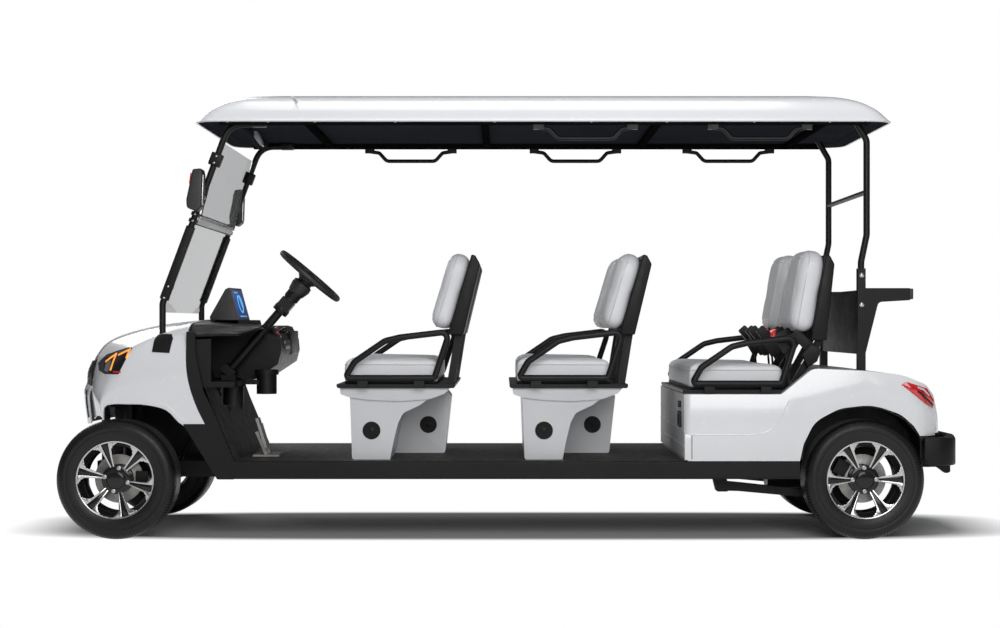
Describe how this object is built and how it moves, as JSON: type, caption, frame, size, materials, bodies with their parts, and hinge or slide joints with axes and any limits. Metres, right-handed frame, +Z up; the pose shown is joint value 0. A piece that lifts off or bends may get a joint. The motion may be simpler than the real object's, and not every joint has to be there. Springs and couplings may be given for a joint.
{
  "type": "golf cart",
  "caption": "long electric golf cart with three forward-facing benches under a full roof, white body, black frame, cast wheels, rolling and steered wheels and lifting seat cushions",
  "frame": {"origin": "on the ground, midway along the cart and midway across it", "axes": "+Z up; -X is the way the cart drives; +Y is the cart's right-hand side"},
  "size_m": [3.919, 1.2964, 1.9099],
  "materials": {
    "body_white": "smooth gloss white paint",
    "seat_base_white": "satin off-white moulding",
    "clear_pane": "light grey tinted clear sheet",
    "lamp_lens": "dark clear lens over amber bars",
    "red_lens": "clear red lens",
    "seat_vinyl": "pale grey grained vinyl",
    "screen_glass": "lit blue panel",
    "bare_aluminium": "cast, lightly brushed",
    "dark_liner": "fine textured sheet",
    "black_plastic": "fine grained black moulding",
    "black_steel": "satin black powder coat",
    "floor_rubber": "ribbed floor mat",
    "belt_black": "black moulding",
    "wheel_rubber": "soft black grip",
    "tyre_rubber": "road tyre",
    "cast_rim": "black and machined cast alloy"
  },
  "bodies": {
    "chassis": {"chassis_frame": "black_steel", "floor_deck": "floor_rubber", "side_sills": "black_plastic", "front_suspension": "black_steel", "rear_suspension": "black_steel", "rear_axle": "black_steel", "drive_motor": "black_steel", "battery_pack": "black_plastic", "steering_rack": "black_steel", "front_cowl": "body_white", "front_grille": "black_plastic", "front_bumper": "body_white", "headlights": "lamp_lens", "cowl_trim": "black_plastic", "dashboard": "black_plastic", "display_screen": "screen_glass", "steering_column": "black_steel", "pedals": "bare_aluminium", "front_struts": "black_steel", "windshield": "clear_pane", "mirrors": "black_plastic", "roof_shell": "body_white", "roof_liner": "dark_liner", "roof_rails": "black_steel", "roof_handles": "black_steel", "rear_struts": "black_steel", "bag_rack": "black_steel", "seat_pedestals": "seat_base_white", "seat_frame_1": "black_steel", "seat_frame_2": "black_steel", "seat_frame_3": "black_steel", "seat_backs": "seat_vinyl", "seat_shells": "black_plastic", "seat_belts": "belt_black", "rear_body": "body_white", "rear_liners": "black_plastic", "taillights": "red_lens", "rear_bumper": "black_plastic", "tow_hitch": "black_steel"},
    "knuckle_left": {"knuckle_left": "black_steel"},
    "knuckle_right": {"knuckle_right": "black_steel"},
    "steering_wheel": {"steering_wheel": "wheel_rubber"},
    "seat_lid_1": {"seat_cushion_1": "seat_vinyl"},
    "seat_lid_2": {"seat_cushion_2": "seat_vinyl"},
    "seat_lid_3": {"seat_cushion_3": "seat_vinyl"},
    "wheel_front_left": {"tyre_front_left": "tyre_rubber", "rim_front_left": "cast_rim"},
    "wheel_front_right": {"tyre_front_right": "tyre_rubber", "rim_front_right": "cast_rim"},
    "wheel_rear_left": {"tyre_rear_left": "tyre_rubber", "rim_rear_left": "cast_rim"},
    "wheel_rear_right": {"tyre_rear_right": "tyre_rubber", "rim_rear_right": "cast_rim"}
  },
  "joints": [
    {"name": "steer_left", "type": "hinge", "parent": "chassis", "child": "knuckle_left", "pos_m": [-1.7055, -0.372, 0.254], "axis": [0, 0, 1], "range_deg": [-30, 30]},
    {"name": "steer_right", "type": "hinge", "parent": "chassis", "child": "knuckle_right", "pos_m": [-1.7055, 0.372, 0.254], "axis": [0, 0, 1], "range_deg": [-30, 30]},
    {"name": "steering_wheel_turn", "type": "hinge", "parent": "chassis", "child": "steering_wheel", "pos_m": [-0.914, -0.3, 1.12174], "axis": [0.6494, 0, 0.7604], "range_deg": [-450, 450]},
    {"name": "roll_front_left", "type": "hinge", "parent": "knuckle_left", "child": "wheel_front_left", "pos_m": [-1.7055, -0.51, 0.254], "axis": [0, 1, 0], "continuous": true},
    {"name": "roll_front_right", "type": "hinge", "parent": "knuckle_right", "child": "wheel_front_right", "pos_m": [-1.7055, 0.51, 0.254], "axis": [0, 1, 0], "continuous": true},
    {"name": "roll_rear_left", "type": "hinge", "parent": "chassis", "child": "wheel_rear_left", "pos_m": [1.4595, -0.51, 0.254], "axis": [0, 1, 0], "continuous": true},
    {"name": "roll_rear_right", "type": "hinge", "parent": "chassis", "child": "wheel_rear_right", "pos_m": [1.4595, 0.51, 0.254], "axis": [0, 1, 0], "continuous": true},
    {"name": "lid_1", "type": "hinge", "parent": "chassis", "child": "seat_lid_1", "pos_m": [-0.7595, 0, 0.665], "axis": [0, -1, 0], "range_deg": [0, 60]},
    {"name": "lid_2", "type": "hinge", "parent": "chassis", "child": "seat_lid_2", "pos_m": [-0.0235, 0, 0.665], "axis": [0, -1, 0], "range_deg": [0, 60]},
    {"name": "lid_3", "type": "hinge", "parent": "chassis", "child": "seat_lid_3", "pos_m": [0.7125, 0, 0.641], "axis": [0, -1, 0], "range_deg": [0, 60]}
  ],
  "couplings": [
    {"joint": "steer_right", "follows": "steer_left", "ratio": 1},
    {"joint": "steering_wheel_turn", "follows": "steer_left", "ratio": 15}
  ]
}
